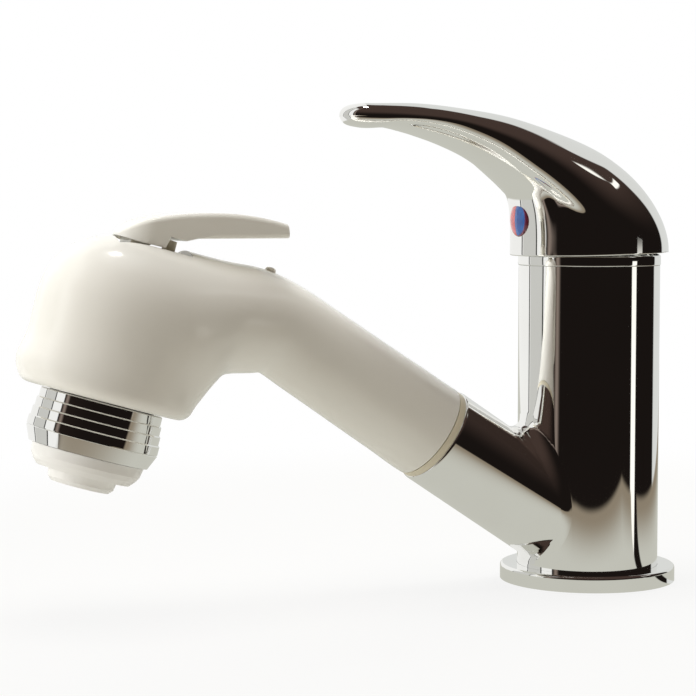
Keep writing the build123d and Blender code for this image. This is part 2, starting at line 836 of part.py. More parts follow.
tube_low = valve_low + valve_length - 4
tube_corner_x = (tube_height * math.cos(lean) - head_drop) / math.sin(lean)
tube_corner = head_point(tube_corner_x, tube_height)
tube_end = head_point(diverter_centre - diverter_radius - boss_step, tube_height)
water_route = FilletPolyline(
    (0, 0, tube_low), (0, 0, tube_corner[1]), (tube_end[0], 0, tube_end[1]), radius=tube_bend_radius,
)
tube_face = Plane(origin=(0, 0, tube_low), z_dir=(0, 0, 1))
water_tube = sweep(tube_face * Circle(tube_radius), path=water_route)
water_tube -= sweep(tube_face * Circle(tube_bore_radius), path=water_route)
add("water_tube", dock * water_tube)

# Diverter body inside the head, with lugs for the lever pin
diverter = Pos(diverter_centre, 0, 0) * disc(diverter_radius, diverter_bottom, diverter_top)
boss = Pos(diverter_centre - diverter_radius, 0, tube_height) * Rot(0, -90, 0)
diverter += boss * disc(tube_radius + boss_wall, -diverter_radius, boss_length)
diverter -= boss * disc(tube_radius + seat_gap, boss_step - fit_gap, boss_length + PAST)
diverter -= boss * disc(tube_bore_radius, -diverter_radius + inlet_wall, boss_step + PAST)
lug_side = lever_tongue_half + 0.2
lug = block(
    lever_pivot_x - lug_reach, lever_pivot_x + lug_reach,
    lug_side, lug_half,
    diverter_top - PAST, lever_pivot_z + lug_rise,
)
diverter += lug
diverter += mirror(lug, Plane.XZ)
diverter -= Pos(plunger_centre, 0, 0) * disc(plunger_radius + 0.15, diverter_bottom - 1, diverter_top + 1)
diverter -= Pos(plunger_centre, 0, 0) * disc(plunger_chamber_radius, diverter_bottom - 1, 30.0)
diverter -= Pos(plunger_centre, 0, 0) * disc(plunger_chamber_radius, spring_bottom, diverter_top + 1)
diverter -= Pos(4.0, 0, 0) * disc(3.0, diverter_bottom - 1, 30.0)
pin_in_head = Pos(lever_pivot_x, 0, lever_pivot_z) * Rot(90, 0, 0)
diverter -= pin_in_head * Cylinder(lever_pin_radius + running_clearance, 2 * lever_pin_half + PAST)
diverter -= block(
    lever_pivot_x - lug_reach - 0.2, lever_pivot_x + lug_reach + 0.2,
    -lug_side, lug_side,
    lever_pivot_z - lug_reach, lever_pivot_z + lug_reach + PAST,
)
add("diverter_body", head * diverter)
add("lever_pin", head * pin_in_head * Cylinder(lever_pin_radius, 2 * lever_pin_half))

# Plunger with its valve disc, seal and return spring
clip_low = spring_top + 0.1
plunger = Pos(plunger_centre, 0, 0) * disc(plunger_radius, plunger_bottom, plunger_top)
plunger += Pos(plunger_centre, 0, 0) * disc(plunger_disc_radius, plunger_bottom, plunger_bottom + 2.6)
plunger += Pos(plunger_centre, 0, 0) * disc(plunger_disc_radius, clip_low, clip_low + 1.0)
groove_low = plunger_bottom + groove_offset
groove_top = groove_low + groove_height
groove_floor = plunger_disc_radius - groove_depth
groove = tube(plunger_disc_radius + PAST, groove_floor, groove_low, groove_top)
add("diverter_plunger", head * (plunger - Pos(plunger_centre, 0, 0) * groove))
seal = tube(
    plunger_disc_radius + seal_stand, groove_floor + running_clearance,
    groove_low + running_clearance, groove_top - running_clearance,
)
add("plunger_seal", head * Pos(plunger_centre, 0, 0) * seal)

spring_pitch = (spring_top - spring_bottom - 2 * spring_wire_radius) / spring_turns


def spring_coil():
    """Open coil of round wire on a helix."""
    height = spring_top - spring_bottom - 2 * spring_wire_radius
    path = Helix(pitch=spring_pitch, height=height, radius=spring_coil_radius)
    start = path.position_at(0)
    place = Plane(origin=start, z_dir=path.tangent_at(0))
    return sweep(place * Circle(spring_wire_radius), path=path, is_frenet=True)


spring = Pos(plunger_centre, 0, spring_bottom + spring_wire_radius) * spring_coil()
add("return_spring", head * spring)

# Threaded carrier in the mouth of the head, ribbed collar, nozzle and aerator
carrier_low = -4.0
head_carrier = disc(carrier_radius, 0, diverter_bottom - 0.2)
head_carrier += disc(collar_inner_radius - fit_gap, carrier_low, 0)
head_carrier -= disc(collar_inner_radius - 3.0, carrier_low - 1, diverter_bottom - 2.2)
head_carrier -= Pos(plunger_centre, 0, 0) * disc(plunger_chamber_radius, carrier_low, diverter_bottom + 1)
head_carrier -= Pos(4.0, 0, 0) * disc(3.0, carrier_low, diverter_bottom + 1)
add("head_carrier", head * head_carrier)

ring_top = -dock_gap
ring_bottom = ring_top - ring_count * ring_height
bevel_bottom = ring_bottom - bevel_height
outline = [(collar_inner_radius, ring_top)]
for k in range(ring_count):
    radius = ring_first_radius + k * ring_step
    upper = ring_top - k * ring_height
    lower = upper - ring_height
    outline.append((radius - ring_groove, upper))
    outline.append((radius, upper - ring_groove))
    outline.append((radius, lower))
    outline.append((radius - ring_groove, lower))
last_radius = ring_first_radius + (ring_count - 1) * ring_step
outline.append((last_radius, ring_bottom - 0.4))
outline.append((bevel_bottom_radius, bevel_bottom))
outline.append((collar_inner_radius, bevel_bottom))
add("spray_collar", head * turned(outline))

nozzle_top = carrier_low - 0.3
rim_low = bevel_bottom - nozzle_height
nozzle_outline = [
    (0, nozzle_top - 1.0),
    (collar_inner_radius - 0.15, nozzle_top - 1.0),
    (collar_inner_radius - 0.15, bevel_bottom - 0.15),
    (nozzle_radius, bevel_bottom - 0.15),
    (nozzle_radius - 0.5, bevel_bottom - 3.0),
    (nozzle_lower_radius + 0.3, rim_low + 1.6),
    (nozzle_lower_radius - 1.2, rim_low),
    (dish_radius, rim_low),
    (dish_radius - 0.4, rim_low - dish_height + 1.2),
    (dish_radius - 1.6, rim_low - dish_height),
    (0, rim_low - dish_height),
]
nozzle = turned(nozzle_outline)
dish_low = rim_low - dish_height
nozzle -= disc(collar_inner_radius - 2.2, rim_low + 2.2, 0)
nozzle -= disc(aerator_radius + 0.1, dish_low - 1, rim_low + 3)
for k in range(jet_count):
    jet = Pos(jet_circle, 0, 0) * disc(jet_radius, rim_low - 1, rim_low + 3)
    nozzle -= Rot(0, 0, k * 360 / jet_count) * jet
add("spray_nozzle", head * nozzle)

aerator_top = rim_low + 1.8
aerator = disc(aerator_radius, dish_low + 0.6, aerator_top)
aerator -= disc(aerator_radius - 1.2, dish_low, dish_low + 2.0)
reach = int((aerator_radius - 2.0) / mesh_pitch)
for i in range(-reach, reach + 1):
    for j in range(-reach, reach + 1):
        if math.hypot(i, j) * mesh_pitch < aerator_radius - 1.2 - mesh_hole_radius:
            mesh_hole = disc(mesh_hole_radius, dish_low, aerator_top + PAST)
            aerator -= Pos(i * mesh_pitch, j * mesh_pitch, 0) * mesh_hole
add("aerator", head * aerator)

seal_ring = tube(collar_inner_radius - 0.3, collar_inner_radius - 2.0, nozzle_top - 0.95, carrier_low - 0.05)
add("nozzle_seal", head * seal_ring)

# Spray lever: side outline in the head frame, rounded in plan, fitted over the dome
lever_top = Spline(
    (9.3, 0, 48.4),
    (5.7, 0, 52.2),
    (-3.2, 0, 57.0),
    (-13.0, 0, 60.4),
    (-21.9, 0, 62.7),
    (-31.0, 0, 64.0),
    (-38.7, 0, 64.3),
)
lever_wire = Wire([
    lever_top,
    Line((-38.7, 0, 64.3), (-40.2, 0, 60.4)),
    Line((-40.2, 0, 60.4), (-12.5, 0, 52.5)),
    Line((-12.5, 0, 52.5), (-9.4, 0, 50.9)),
    Line((-9.4, 0, 50.9), (-4.6, 0, 50.9)),
    Line((-4.6, 0, 50.9), (-3.4, 0, 45.5)),
    Line((-3.4, 0, 45.5), (9.3, 0, 45.5)),
    Line((9.3, 0, 45.5), (9.3, 0, 48.4)),
])
lever = prism_y(lever_wire, lever_half_width)
lever_plan = block(-60, 9.6 - lever_half_width, -lever_half_width, lever_half_width, 30, 80)
lever_plan += Pos(9.6 - lever_half_width, 0, 0) * disc(lever_half_width, 30, 80)
lever = lever & lever_plan


def on_top_side(edge):
    """True for the two long upper edges of the lever."""
    middle = edge.center()
    return abs(abs(middle.Y) - lever_half_width) < 0.01 and middle.Z > 56 and edge.length > 20


lever = fillet([e for e in lever.edges() if on_top_side(e)], lever_edge_rounding)
skin = head_in_dock.inverse() * spray_form(-lever_clearance)
lever -= skin
lever_body_pieces = lever.solids().sort_by(SortBy.VOLUME)
lever = lever_body_pieces[-1]
tongue = block(
    lever_pivot_x - lever_eye_radius, lever_pivot_x + lever_eye_radius,
    -lever_tongue_half, lever_tongue_half,
    lever_pivot_z, tongue_top,
)
tongue += pin_in_head * Cylinder(lever_eye_radius, 2 * lever_tongue_half)
lever += tongue
lever -= pin_in_head * Cylinder(lever_pin_radius + running_clearance, 2 * lever_pin_half + PAST)
add("spray_lever", head * lever)

os.makedirs("parts", exist_ok=True)
for name, shape in parts.items():
    export_step(shape, "parts/" + name + ".step")
print(len(parts), "sub-parts written")
bend_bottom = corner_height - hose_bend_radius * math.tan(bend_turn / 2)
print("hose bend ends at height", round(bend_bottom, 2), "and its radius is", hose_bend_radius)
pivot = (head * Pos(lever_pivot_x, 0, lever_pivot_z)).position
print("lever pivot at", tuple(round(c, 3) for c in pivot))
print("dock at", tuple(round(c, 3) for c in dock.position), "along", tuple(round(c, 5) for c in arm_dir))
up = (head * Pos(0, 0, 1)).position - head.position
print("head axis", tuple(round(c, 5) for c in up), "from", tuple(round(c, 3) for c in head.position))
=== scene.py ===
# %% [markdown]
# A pull-out mixer tap: a chromed body and handle with a white hand spray docked in its arm.
# The tap's construction comes in as a fixed frame. This file gives it its finish: smooth new
# shells where the light would show every ripple, and a procedural material on every surface.
# A maker could polish a cast handle or model it by eye. Here each shell follows a few lines,
# so that its reflections run as cleanly as they do on real chrome.

# %% Load the frame
import json
import math
import bmesh
import bpy
from mathutils import Matrix, Vector


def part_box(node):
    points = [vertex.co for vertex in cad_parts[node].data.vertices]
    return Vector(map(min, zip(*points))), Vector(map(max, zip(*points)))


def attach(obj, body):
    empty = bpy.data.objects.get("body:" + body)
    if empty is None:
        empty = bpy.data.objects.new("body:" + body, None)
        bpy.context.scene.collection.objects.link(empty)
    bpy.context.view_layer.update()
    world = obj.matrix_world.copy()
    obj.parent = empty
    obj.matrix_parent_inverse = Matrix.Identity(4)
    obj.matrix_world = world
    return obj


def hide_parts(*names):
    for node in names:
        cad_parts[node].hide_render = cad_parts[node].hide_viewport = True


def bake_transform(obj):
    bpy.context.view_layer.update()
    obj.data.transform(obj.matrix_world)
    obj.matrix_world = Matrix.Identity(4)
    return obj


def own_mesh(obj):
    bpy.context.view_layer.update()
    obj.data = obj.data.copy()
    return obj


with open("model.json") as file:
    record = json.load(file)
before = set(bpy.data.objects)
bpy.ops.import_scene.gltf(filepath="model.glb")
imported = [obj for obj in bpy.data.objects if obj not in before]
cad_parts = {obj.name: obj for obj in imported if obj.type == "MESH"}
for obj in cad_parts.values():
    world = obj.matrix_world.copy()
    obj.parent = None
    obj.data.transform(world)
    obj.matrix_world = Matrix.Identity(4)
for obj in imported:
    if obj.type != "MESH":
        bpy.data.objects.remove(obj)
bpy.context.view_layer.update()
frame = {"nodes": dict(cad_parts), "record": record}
nodes = frame["nodes"]
scene = bpy.context.scene
MM = 0.001

# %% [markdown]
# The camera stands a little above the arm, two thirds of a metre away and turned 23 degrees
# round the tap, with a long lens. Its turn and pitch were worked out from the ellipses of the
# base ring and of the spray, not found by eye. It comes first, because the studio is laid out
# from it: chrome shows only what stands round it.

# %% Camera
view_turn = math.radians(23.0)
view_pitch = math.radians(4.003)
view_distance = 667 * MM
view_side = 77.2 * MM
view_height = 121 * MM
focal_pixels = 2083
image_width = 696
sensor_width = 36.0

look = Vector((math.sin(view_turn), math.cos(view_turn), 0))
right = Vector((math.cos(view_turn), -math.sin(view_turn), 0))
up = Vector((0, 0, 1))
forward = look * math.cos(view_pitch) - up * math.sin(view_pitch)
camera_up = up * math.cos(view_pitch) + look * math.sin(view_pitch)

lens = bpy.data.cameras.new("camera")
lens.sensor_width = sensor_width
lens.lens = focal_pixels / image_width * sensor_width
lens.clip_start = 0.01
camera = bpy.data.objects.new("camera", lens)
camera.matrix_world = Matrix((right, camera_up, -forward)).transposed().to_4x4()
camera.location = -look * view_distance - right * view_side + up * view_height
scene.collection.objects.link(camera)
scene.camera = camera
scene.view_settings.view_transform = "Standard"
print("lens", round(lens.lens, 1), "mm")

# %% [markdown]
# Shader maths reads better as plain expressions than as a drawing of boxes and wires. The class
# below wraps one output socket. An expression on two of them adds a Math node, and the method
# node() makes any other kind of node. Colours are mixed by mix(), because a Math node would
# turn them grey.

# %% A socket that understands arithmetic
class Wire:
    def __init__(self, tree, socket=None):
        self.tree = tree
        self.socket = socket

    def node(self, kind, settings=None, inputs=None, out=0):
        """Add a node, set it up, feed its inputs and hand back one of its outputs."""
        made = self.tree.nodes.new(kind)
        for key, value in (settings or {}).items():
            setattr(made, key, value)
        for key, value in (inputs or {}).items():
            socket = made.inputs[key]
            if isinstance(value, Wire):
                self.tree.links.new(value.socket, socket)
            elif socket.type == "RGBA":
                socket.default_value = (*value, 1.0)
            else:
                socket.default_value = value
        return Wire(self.tree, made.outputs[out]) if made.outputs else made

    def math(self, operation, a, b=0.0):
        return self.node("ShaderNodeMath", {"operation": operation}, {0: a, 1: b})

    def __add__(self, other):
        return self.math("ADD", self, other)

    def __sub__(self, other):
        return self.math("SUBTRACT", self, other)

    def __mul__(self, other):
        return self.math("MULTIPLY", self, other)

    def __truediv__(self, other):
        return self.math("DIVIDE", self, other)

    def __rsub__(self, other):
        return self.math("SUBTRACT", other, self)

    __radd__ = __add__
    __rmul__ = __mul__

    def rise(self, start, end):
        """Smooth rise from 0 to 1 between two values."""
        inputs = {"Value": self, "From Min": start, "From Max": end}
        return self.node("ShaderNodeMapRange", {"interpolation_type": "SMOOTHSTEP"}, inputs)

    def band(self, low, high, edge):
        """1 between two values and 0 outside them, with soft edges."""
        return self.rise(low - edge, low + edge) * (1 - self.rise(high - edge, high + edge))

    def mix(self, a, b):
        """Colour a where this is 0 and colour b where it is 1."""
        return self.node("ShaderNodeMix", {"data_type": "RGBA"}, {0: self, 6: a, 7: b}, out=2)

    def dot(self, direction):
        inputs = {0: self, 1: tuple(direction)}
        return self.node("ShaderNodeVectorMath", {"operation": "DOT_PRODUCT"}, inputs, out=1)


# %% Start a tree and tell rays apart
def new_tree(holder):
    """Empty the holder's node tree and give the pen that draws in it."""
    holder.use_nodes = True
    holder.node_tree.nodes.clear()
    return Wire(holder.node_tree)


def ray_is(pen, kind):
    """1 for rays of one kind and 0 for all others."""
    return pen.node("ShaderNodeLightPath", out=f"Is {kind} Ray")


def shader_mix(pen, mask, a, b):
    """Shader a where the mask is 0 and shader b where it is 1."""
    return pen.node("ShaderNodeMixShader", inputs={0: mask, 1: a, 2: b})


# %% [markdown]
# The studio. Polished chrome has no colour of its own, so the room decides how it looks. There
# is a pale backdrop behind the tap, pale paper and a greyer wall at the left, and a dark room
# under a brown ceiling on the camera's side, where two lamps stand at the right. Real panels
# would do this too, but they would stand in the way in other views. A world shader paints the
# same room for reflected rays only. It is fixed in space, so it stays put when another camera
# looks. A direction is given as a turn, counted from the camera to the right, and a height
# above the horizon.

# %% Colours of the room
room = (0.0095, 0.0070, 0.0060)
ceiling = (0.058, 0.038, 0.031)
backdrop = (0.72, 0.73, 0.71)
left_wall = (0.60, 0.60, 0.57)
left_paper = (0.92, 0.92, 0.90)
brown_line = (0.24, 0.19, 0.16)
lamp_white = (1.15, 1.13, 1.05)
degree = math.radians(1)
soft_edge = 1.5 * degree

# %% Directions in the room
world = bpy.data.worlds.new("studio")
scene.world = world
pen = new_tree(world)
ray = pen.node("ShaderNodeTexCoord", out="Generated")
turn = pen.math("ARCTAN2", ray.dot(right), ray.dot(-look))
height = pen.math("ARCSINE", ray.dot(up))


def sector(low, high, edge):
    """The room between two turns, in degrees."""
    return turn.band(low * degree, high * degree, edge)


def layer(low, high, edge):
    """The room between two heights, in degrees."""
    return height.band(low * degree, high * degree, edge)


# %% Walls and ceiling
seen = height.rise(5 * degree, 50 * degree).mix(room, ceiling)
backdrop_side = turn.rise(122 * degree, 126 * degree)
backdrop_part = backdrop_side * (1 - height.rise(43 * degree, 47 * degree))
seen = backdrop_part.mix(seen, backdrop)

left_top = 1 - height.rise(60 * degree, 66 * degree)
left_part = (1 - turn.rise(-66 * degree, -64 * degree)) * left_top
seen = left_part.mix(seen, left_paper)
seen = (sector(-117, -87, soft_edge / 2) * left_top).mix(seen, left_wall)
for low, high in ((-121, -118.5), (-88, -85.5)):
    dark_joint = sector(low, high, soft_edge / 2) * left_top
    seen = dark_joint.mix(seen, room)
seen = sector(-61, -55, 2 * soft_edge).mix(seen, brown_line)
print("world nodes for walls", len(world.node_tree.nodes))

# %% [markdown]
# Two lamps draw the bright lines in the chrome. The low one is a narrow strip that reaches far
# down past the edge of the table, and gives the long white line along the barrel. The high one
# is a short bar, and gives the spark on the back of the handle.

# %% Lamps in the world
low_lamp = sector(67, 76, soft_edge / 2) * layer(-60, -1.3, soft_edge / 3)
high_lamp = sector(84, 107, soft_edge) * layer(37, 41, soft_edge / 2)
for lamp in (low_lamp, high_lamp):
    seen = lamp.mix(seen, lamp_white)
print("world nodes with lamps", len(world.node_tree.nodes))

# %% [markdown]
# Soft light. The white plastic takes its form from the same room, seen without any detail:
# bright from the left and the back, dark and brown from the camera's right. An even light
# would be simpler, but the rounded hand spray would look flat in it. To the camera itself the
# world is plain white.

# %% Soft light and the finished world
bright_side = (0.86, 0.86, 0.84)
dark_side = (0.105, 0.070, 0.035)
dark_turn = 32 * degree
dark_way = -look * math.cos(dark_turn) + right * math.sin(dark_turn)
soft_colour = ray.dot(dark_way).rise(-0.2, 0.35).mix(bright_side, dark_side)

soft_light, reflected, white = (
    pen.node("ShaderNodeBackground", inputs={"Color": colour, "Strength": 1.0})
    for colour in (soft_colour, seen, (1.0, 1.0, 1.0))
)
shown = shader_mix(pen, ray_is(pen, "Glossy"), soft_light, reflected)
shown = shader_mix(pen, ray_is(pen, "Camera") + ray_is(pen, "Transmission"), shown, white)
pen.node("ShaderNodeOutputWorld", inputs={"Surface": shown})
print("world nodes", len(world.node_tree.nodes))

# %% [markdown]
# Soft boxes model the white plastic and throw the shadow. One stands at the left, one overhead
# and one behind at the right, and the chrome doesn't show them. A fourth, small and overhead,
# shows in glossy surfaces too: it puts a small highlight on top of the head.

# %% Soft boxes
aim = Vector((-0.06, 0, 0.08))


def soft_box(name, place, size, power, mirrored=False):
    light = bpy.data.lights.new(name, "AREA")
    light.size = size
    light.energy = power
    box = bpy.data.objects.new(name, light)
    toward = (aim - Vector(place)).to_track_quat("-Z", "Y")
    box.matrix_world = Matrix.Translation(place) @ toward.to_matrix().to_4x4()
    box.visible_glossy = mirrored
    scene.collection.objects.link(box)
    print(name, power, "W")


soft_box("left_box", (-1.02, 0.02, 0.30), 0.5, 4.2)
soft_box("top_box", (-0.06, -0.02, 1.1), 0.6, 6.2)
soft_box("back_box", (0.75, 0.60, 0.30), 0.5, 6.0)
soft_box("small_top_box", (-0.07, 0.16, 1.15), 0.16, 0.8, mirrored=True)

# %% [markdown]
# The floor is one large sheet, which keeps the tap's shadow. In the chrome it shows as pale
# paper that ends about 20 centimetres from the tap: on three sides, reflected rays pass through
# the sheet into the room, as they do past a real table. A narrow slit toward the low lamp lets
# its line run down to the base ring. The paper that the chrome sees is a glow, with painted
# shade that turns it darker and browner toward its near and right edges.

# %% Floor sheet
sheet = bmesh.new()
bmesh.ops.create_grid(sheet, x_segments=1, y_segments=1, size=3.0)
floor_mesh = bpy.data.meshes.new("floor")
sheet.to_mesh(floor_mesh)
sheet.free()
floor = bpy.data.objects.new("floor", floor_mesh)
scene.collection.objects.link(floor)
print("floor", floor.dimensions[0], "m wide")

# %% Paper as the chrome sees it
near_edge = 0.19
right_edge = 0.215
left_edge = 0.26
paper_reflection = (0.57, 0.57, 0.51)
painted_warm_shade = (0.27, 0.225, 0.165)
lamp_turn = 71 * degree
lamp_way = -look * math.cos(lamp_turn) + right * math.sin(lamp_turn)
lamp_side = look * math.sin(lamp_turn) + right * math.cos(lamp_turn)

paper = bpy.data.materials.new("paper")
pen = new_tree(paper)
place = pen.node("ShaderNodeTexCoord", out="Object")
near_side = place.dot(-look) / near_edge
right_side = place.dot(right) / right_edge
left_side = place.dot(-right) / left_edge
near_or_right = pen.math("MAXIMUM", near_side, right_side)
past_edge = pen.math("MAXIMUM", near_or_right, left_side).rise(0.93, 1.07)
off_lamp_line = place.dot(lamp_side) / place.dot(lamp_way)
slit = off_lamp_line.band(-0.10, 0.10, 0.02) * place.dot(lamp_way).rise(0.0, 0.02)
# Painted shade: the paper that the chrome sees turns darker and browner toward its near and right
# edges.
seen_paper = near_or_right.rise(0.30, 0.90).mix(paper_reflection, painted_warm_shade)
sheet_seen = pen.node("ShaderNodeEmission", inputs={"Color": seen_paper})
gone = pen.node("ShaderNodeBsdfTransparent")
mirrored_floor = shader_mix(pen, pen.math("MAXIMUM", past_edge, slit), sheet_seen, gone)
print("paper nodes", len(paper.node_tree.nodes))

# %% [markdown]
# To the camera the paper is a lit surface mixed with an even white glow. The glow grows away
# from the tap, so the sheet fades into the white world and only the shadow near the tap stays.

# %% Paper as the camera sees it
shadow_reach = 0.22
paper_colour = (0.63, 0.62, 0.58)
distance = pen.node("ShaderNodeVectorMath", {"operation": "LENGTH"}, {0: place}, out=1)
away = distance.rise(shadow_reach, 1.8 * shadow_reach)
lit = pen.node("ShaderNodeBsdfDiffuse", inputs={"Color": paper_colour})
glow = pen.node("ShaderNodeEmission", inputs={"Color": (1.0, 1.0, 1.0), "Strength": 1.0})
shown = shader_mix(pen, ray_is(pen, "Camera") * (0.85 + 0.15 * away), lit, glow)
shown = shader_mix(pen, ray_is(pen, "Glossy"), shown, mirrored_floor)
pen.node("ShaderNodeOutputMaterial", inputs={"Surface": shown})
floor_mesh.materials.append(paper)
print("paper nodes", len(paper.node_tree.nodes))

# %% [markdown]
# Every finish is worked out from the place on the object, so that it keeps its scale on each
# piece. An image texture would need a photograph and a flat layout of every shell. Noise and
# plain formulas need neither, and never show a seam.

# %% Tools for finishes
def start_material(name):
    material = bpy.data.materials.new(name)
    pen = new_tree(material)
    place = pen.node("ShaderNodeTexCoord", out="Object")
    return material, pen, place


def end_material(pen, **values):
    """Close a finish with the main shader: Base_Color=... feeds its socket Base Color."""
    names = {key.replace("_", " "): value for key, value in values.items()}
    shader = pen.node("ShaderNodeBsdfPrincipled", inputs=names)
    pen.node("ShaderNodeOutputMaterial", inputs={"Surface": shader})


def noise(pen, place, scale, detail=2.0):
    inputs = {"Vector": place, "Scale": scale, "Detail": detail}
    return pen.node("ShaderNodeTexNoise", inputs=inputs)


def bump(pen, height, distance, strength=1.0):
    inputs = {"Height": height, "Distance": distance, "Strength": strength}
    return pen.node("ShaderNodeBump", inputs=inputs)


# %% [markdown]
# Chrome is the smoothest finish of the tap. A slow change of roughness stands for wiping marks,
# and a bump of a few microns keeps long reflections from looking drawn with a ruler.

# %% Chrome
def chrome():
    material, pen, place = start_material("chrome")
    wiped = noise(pen, place, 40.0, 4.0)
    polish = noise(pen, place, 90.0)
    tint = wiped.rise(0.3, 0.8).mix((0.93, 0.93, 0.92), (0.90, 0.895, 0.88))
    normal = bump(pen, polish, 0.002 * MM)
    end_material(pen, Base_Color=tint, Roughness=0.02 + wiped * 0.03, Metallic=1.0, Normal=normal)
    return material


# %% [markdown]
# Moulded plastic keeps a trace of its mould: the colour drifts a little over a large piece, and
# a fine grain softens its gloss. A clear coat gives the hand spray its wet-looking highlight.

# %% Moulded plastic
def moulded(name, light, dark, roughness, grain_scale=900.0, coat=0.0):
    material, pen, place = start_material(name)
    drift = noise(pen, place, 14.0, 3.0)
    grain = noise(pen, place, grain_scale)
    colour = drift.rise(0.3, 0.7).mix(light, dark)
    normal = bump(pen, grain, 0.004 * MM)
    gloss = roughness + drift * 0.06
    end_material(pen, Base_Color=colour, Roughness=gloss, Normal=normal, Coat_Weight=coat)
    return material


# %% [markdown]
# Brass and steel pieces are turned on a lathe, which leaves fine rings. Noise that is squeezed
# along the height makes such rings on every piece at once.

# %% Turned metal
def machined(name, light, dark, roughness):
    material, pen, place = start_material(name)
    squeeze = {"Vector": place, "Scale": (60.0, 60.0, 5000.0)}
    rings = noise(pen, pen.node("ShaderNodeMapping", inputs=squeeze), 1.0)
    colour = rings.rise(0.35, 0.65).mix(light, dark)
    normal = bump(pen, rings, 0.01 * MM, 0.5)
    gloss = roughness + rings * 0.15
    end_material(pen, Base_Color=colour, Roughness=gloss, Metallic=1.0, Normal=normal)
    return material


# %% [markdown]
# The spray hose wears a steel braid, whose strands cross in two directions. Real strands could
# be modelled one by one, but they are so fine that only their pattern shows. Two waves that
# wind opposite ways round the line of the arm give it.

# %% Braid of the hose
arm_slant = math.radians(33.6)
arm_height = 12.35 * MM
arm_way = Vector((-math.cos(arm_slant), 0, math.sin(arm_slant)))
arm_over = Vector((math.sin(arm_slant), 0, math.cos(arm_slant)))
strand_pairs = 14
braid_pitch = 34 * MM


def braid():
    material, pen, place = start_material("hose_braid")
    along = place.dot(arm_way) * (math.tau * strand_pairs / braid_pitch)
    over = place.dot(arm_over) - arm_height * arm_over.z
    around = pen.math("ARCTAN2", place.dot((0, 1, 0)), over) * strand_pairs
    left_strands = pen.math("SINE", around + along)
    right_strands = pen.math("SINE", around - along)
    strands = pen.math("MAXIMUM", left_strands, right_strands)
    colour = strands.rise(-0.2, 0.9).mix((0.16, 0.16, 0.165), (0.66, 0.66, 0.65))
    normal = bump(pen, strands, 0.25 * MM)
    gloss = 0.32 - strands * 0.06
    end_material(pen, Base_Color=colour, Roughness=gloss, Metallic=0.9, Normal=normal)
    return material


# %% [markdown]
# The index button is clear resin over a coloured print. Its dome bends the light, so that a
# reddish line shows round the rim of both halves; here that line is painted refraction, a colour
# painted on the rim. The distance from the button's axis tells where the rim is.

# %% Marks of the index button
button_height = 115.5


def mark(name, light, dark, painted_refraction_colour):
    material, pen, place = start_material(name)
    depth = noise(pen, place, 300.0, 3.0)
    colour = depth.rise(0.3, 0.7).mix(light, dark)
    out_y = place.dot((0, 1, 0))
    out_z = place.dot((0, 0, 1)) - button_height * MM
    from_axis = pen.math("SQRT", out_y * out_y + out_z * out_z)
    # Painted refraction: a reddish line painted round the rim stands for light bent by the clear
    # dome.
    colour = from_axis.rise(4.7 * MM, 5.3 * MM).mix(colour, painted_refraction_colour)
    gloss = 0.15 + depth * 0.1
    end_material(pen, Base_Color=colour, Roughness=gloss, Coat_Weight=1.0, Coat_Roughness=0.03)
    return material


# %% [markdown]
# Each finish is made once, under the name of its slot. The stub under the spray lever belongs
# to the diverter, and is ivory like the docking sleeve.

# %% Give every node its finish
paints = {
    "chrome": chrome(),
    "white_plastic": moulded("white_plastic", (0.91, 0.90, 0.84), (0.89, 0.87, 0.81), 0.16, coat=0.3),
    "nozzle_plastic": moulded("nozzle_plastic", (0.92, 0.92, 0.89), (0.90, 0.89, 0.86), 0.22),
    "sleeve_plastic": moulded("sleeve_plastic", (0.80, 0.74, 0.58), (0.72, 0.66, 0.50), 0.35),
    "brass": machined("brass", (0.72, 0.52, 0.22), (0.60, 0.42, 0.17), 0.2),
    "steel": machined("steel", (0.62, 0.62, 0.62), (0.50, 0.50, 0.50), 0.2),
    "black_plastic": moulded("black_plastic", (0.022, 0.022, 0.024), (0.014, 0.014, 0.015), 0.38),
    "clear_plastic": moulded("clear_plastic", (0.78, 0.78, 0.76), (0.70, 0.70, 0.69), 0.25),
    "ceramic": moulded("ceramic", (0.84, 0.82, 0.76), (0.80, 0.77, 0.70), 0.12),
    "rubber": moulded("rubber", (0.018, 0.018, 0.018), (0.010, 0.010, 0.010), 0.6, 500.0),
    "hose_braid": braid(),
    "blue_mark": mark("blue_mark", (0.010, 0.130, 0.470), (0.006, 0.070, 0.320), (0.20, 0.03, 0.06)),
    "red_mark": mark("red_mark", (0.680, 0.090, 0.090), (0.520, 0.040, 0.050), (0.66, 0.22, 0.20)),
    "plug_plastic": moulded("plug_plastic", (0.76, 0.76, 0.74), (0.70, 0.70, 0.68), 0.35),
    "aerator_plastic": moulded("aerator_plastic", (0.60, 0.60, 0.58), (0.52, 0.52, 0.50), 0.35),
}
finish_of = {entry["node"]: entry["material_slot"] for entry in frame["record"]["subparts"]}
finish_of["diverter_plunger"] = finish_of["diverter_body"] = "sleeve_plastic"
for name, node in nodes.items():
    node.data.materials.clear()
    node.data.materials.append(paints[finish_of[name]])
print("finishes", len(paints))

# %% [markdown]
# New pieces share a few helpers. A piece is built in a bmesh in millimetres, as its maker would
# draw it, scaled to metres in its own mesh, and left at the origin, so that it sits exactly
# where the frame holds the node it stands for.

